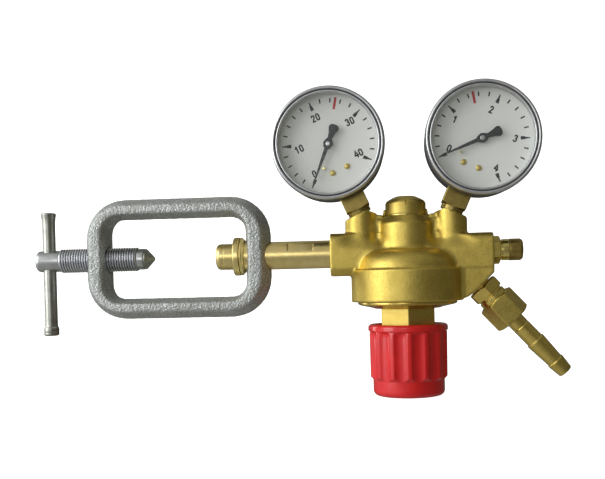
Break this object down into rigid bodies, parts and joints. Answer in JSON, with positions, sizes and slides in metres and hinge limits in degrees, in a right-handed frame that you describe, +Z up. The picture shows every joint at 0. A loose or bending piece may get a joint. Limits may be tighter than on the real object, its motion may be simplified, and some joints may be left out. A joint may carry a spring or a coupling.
{
  "type": "gas pressure regulator",
  "caption": "Single-stage brass cylinder pressure regulator with a yoke clamp inlet, T-bar clamp screw, round gauges, relief valve, red adjusting knob and barbed hose tail.",
  "frame": {"origin": "centre of the inlet nipple's sealing face, where it meets the cylinder valve", "axes": "+X along the inlet tube towards the body, +Z up with the gauges on top and the knob below, dials face -Y"},
  "size_m": [0.3064, 0.063, 0.1734],
  "materials": {
    "forged_brass": "satin, as forged",
    "machined_brass": "turned",
    "bright_brass": "turned",
    "zinc_casting": "zinc coated, as cast",
    "plated_steel": "zinc plated",
    "spring_steel": "drawn wire",
    "red_plastic": "gloss",
    "rubber": "matte",
    "seal": "matte",
    "copper_seal": "annealed",
    "gauge_case": "satin dark grey",
    "gauge_bezel": "turned",
    "window": "clear",
    "dial_white": "matte",
    "pointer_black": "matte"
  },
  "bodies": {
    "root": {"body": "forged_brass", "valve_plug": "machined_brass", "plug_seal": "copper_seal", "valve_seat": "bright_brass", "poppet_spring": "spring_steel", "diaphragm": "rubber", "slip_ring": "bright_brass", "bonnet": "machined_brass", "main_spring": "spring_steel", "inlet_nipple": "machined_brass", "nipple_seal": "seal", "inlet_filter": "bright_brass", "inlet_tube": "machined_brass", "relief_body": "machined_brass", "relief_cap": "machined_brass", "relief_spring": "spring_steel", "outlet_adapter": "machined_brass", "high_socket": "machined_brass", "high_case": "gauge_case", "high_bezel": "gauge_bezel", "high_window": "window", "high_dial": "dial_white", "high_dial_screws": "bright_brass", "high_stop_pin": "bright_brass", "high_movement": "bright_brass", "high_bourdon_tube": "bright_brass", "low_socket": "machined_brass", "low_case": "gauge_case", "low_bezel": "gauge_bezel", "low_window": "window", "low_dial": "dial_white", "low_dial_screws": "bright_brass", "low_stop_pin": "bright_brass", "low_movement": "bright_brass", "low_bourdon_tube": "bright_brass"},
    "diaphragm_plates": {"diaphragm_plate": "bright_brass", "spring_disc": "plated_steel", "push_pin": "plated_steel"},
    "poppet": {"poppet": "plated_steel"},
    "spring_button": {"spring_button": "plated_steel"},
    "knob": {"knob": "red_plastic", "knob_cap": "red_plastic", "knob_screw": "plated_steel", "adjusting_spindle": "plated_steel"},
    "relief_poppet": {"relief_poppet": "plated_steel"},
    "thrust_washer": {"thrust_washer": "machined_brass"},
    "yoke": {"yoke": "zinc_casting"},
    "screw_tip": {"screw_tip": "plated_steel"},
    "clamp_screw": {"clamp_screw": "plated_steel"},
    "tommy_bar": {"tommy_bar": "plated_steel"},
    "hose_nipple": {"hose_nipple": "machined_brass"},
    "union_nut": {"union_nut": "machined_brass"},
    "high_pointer": {"high_pointer": "pointer_black", "high_arbor": "bright_brass"},
    "high_sector": {"high_sector": "bright_brass"},
    "high_link": {"high_link": "bright_brass"},
    "low_pointer": {"low_pointer": "pointer_black", "low_arbor": "bright_brass"},
    "low_sector": {"low_sector": "bright_brass"},
    "low_link": {"low_link": "bright_brass"}
  },
  "joints": [
    {"name": "diaphragm_lift", "type": "slide", "parent": "root", "child": "diaphragm_plates", "axis": [0, 0, 1], "range_m": [0, 0.0008], "stiffness_N_per_m": 1500, "springref_m": -0.002, "deforming": ["diaphragm"]},
    {"name": "poppet_lift", "type": "slide", "parent": "root", "child": "poppet", "axis": [0, 0, 1], "range_m": [0, 0.0008], "deforming": ["poppet_spring"]},
    {"name": "spindle_feed", "type": "slide", "parent": "root", "child": "spring_button", "axis": [0, 0, 1], "range_m": [0, 0.0075], "deforming": ["main_spring"]},
    {"name": "knob_turn", "type": "hinge", "parent": "spring_button", "child": "knob", "pos_m": [0.1088, 0, -0.06], "axis": [0, 0, 1], "range_deg": [0, 1800]},
    {"name": "relief_lift", "type": "slide", "parent": "root", "child": "relief_poppet", "axis": [1, 0, 0], "range_m": [0, 0.001], "stiffness_N_per_m": 1500, "springref_m": -0.002, "deforming": ["relief_spring"]},
    {"name": "yoke_slide", "type": "slide", "parent": "root", "child": "thrust_washer", "axis": [1, 0, 0], "range_m": [0, 0.0195]},
    {"name": "yoke_turn", "type": "hinge", "parent": "thrust_washer", "child": "yoke", "pos_m": [0.025, 0, 0], "axis": [1, 0, 0], "continuous": true},
    {"name": "screw_feed", "type": "slide", "parent": "yoke", "child": "screw_tip", "axis": [1, 0, 0], "range_m": [-0.0195, 0.0135]},
    {"name": "clamp_turn", "type": "hinge", "parent": "screw_tip", "child": "clamp_screw", "pos_m": [-0.07, 0, 0], "axis": [1, 0, 0], "range_deg": [-4680, 3240]},
    {"name": "bar_slide", "type": "slide", "parent": "clamp_screw", "child": "tommy_bar", "axis": [0, 0, 1], "range_m": [-0.0155, 0.03]},
    {"name": "tail_draw", "type": "slide", "parent": "root", "child": "hose_nipple", "axis": [0.682, 0, -0.7314], "range_m": [0, 0.00935]},
    {"name": "nut_turn", "type": "hinge", "parent": "hose_nipple", "child": "union_nut", "pos_m": [0.16197, 0, -0.03248], "axis": [0.682, 0, -0.7314], "range_deg": [-2525, 0]},
    {"name": "high_pointer_turn", "type": "hinge", "parent": "root", "child": "high_pointer", "pos_m": [0.0665, 0, 0.0609], "axis": [0, 1, 0], "range_deg": [0, 270], "stiffness_Nm_per_rad": 0.0002, "springref_deg": -17.19},
    {"name": "high_sector_turn", "type": "hinge", "parent": "root", "child": "high_sector", "pos_m": [0.07323, 0, 0.04749], "axis": [0, 1, 0], "range_deg": [-30, 0]},
    {"name": "high_link_turn", "type": "hinge", "parent": "high_sector", "child": "high_link", "pos_m": [0.08003, 0, 0.04914], "axis": [0, 1, 0], "range_deg": [0, 30]},
    {"name": "low_pointer_turn", "type": "hinge", "parent": "root", "child": "low_pointer", "pos_m": [0.1511, 0, 0.0609], "axis": [0, 1, 0], "range_deg": [0, 270], "stiffness_Nm_per_rad": 0.0002, "springref_deg": -17.19},
    {"name": "low_sector_turn", "type": "hinge", "parent": "root", "child": "low_sector", "pos_m": [0.14584, 0, 0.04685], "axis": [0, 1, 0], "range_deg": [-30, 0]},
    {"name": "low_link_turn", "type": "hinge", "parent": "low_sector", "child": "low_link", "pos_m": [0.15167, 0, 0.04298], "axis": [0, 1, 0], "range_deg": [0, 30]}
  ],
  "couplings": [
    {"joint": "poppet_lift", "follows": "diaphragm_lift", "ratio": 1},
    {"joint": "spindle_feed", "follows": "knob_turn", "m_per_rad": 0.00023873},
    {"joint": "screw_feed", "follows": "clamp_turn", "m_per_rad": 0.00023873},
    {"joint": "nut_turn", "follows": "tail_draw", "rad_per_m": -4700},
    {"joint": "high_sector_turn", "follows": "high_pointer_turn", "ratio": -0.11111},
    {"joint": "high_link_turn", "follows": "high_pointer_turn", "ratio": 0.11111},
    {"joint": "low_sector_turn", "follows": "low_pointer_turn", "ratio": -0.11111},
    {"joint": "low_link_turn", "follows": "low_pointer_turn", "ratio": 0.11111}
  ]
}
